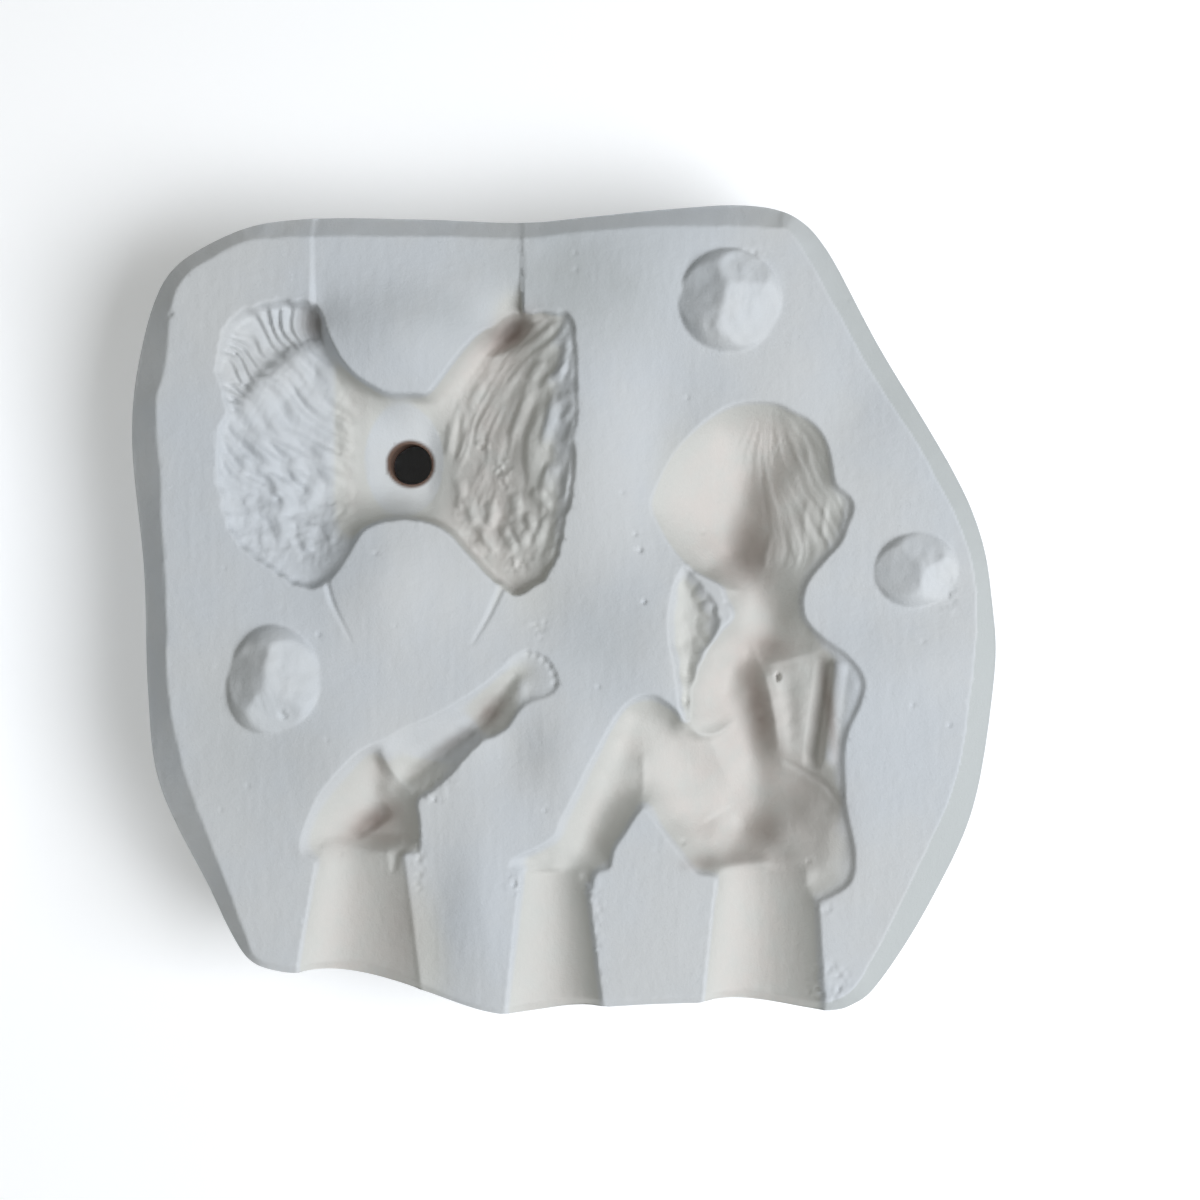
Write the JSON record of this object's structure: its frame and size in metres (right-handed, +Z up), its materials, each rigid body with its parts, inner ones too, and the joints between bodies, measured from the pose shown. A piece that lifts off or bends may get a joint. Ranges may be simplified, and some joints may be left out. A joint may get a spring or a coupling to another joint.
{
  "type": "plaster mold",
  "caption": "Plaster slip-casting mould lying open, its mating halves hollowed for a seated winged figurine, with pour gates, natches and bevelled rims.",
  "frame": {"origin": "on the table, midway between the open halves, on the line below the one the front half turns about", "axes": "+X across both halves from the front half to the back half, +Y from the pour gates to the top edge, +Z up out of the cavities"},
  "size_m": [0.4866, 0.2036, 0.0522],
  "materials": {
    "plaster": "matte"
  },
  "bodies": {
    "back_half": {"back_half": "plaster"},
    "front_half": {"front_half": "plaster"}
  },
  "joints": [
    {"name": "front_half_turnover", "type": "hinge", "parent": "back_half", "child": "front_half", "pos_m": [0, 0, 0.045], "axis": [0, 1, 0], "range_deg": [0, 180]}
  ]
}
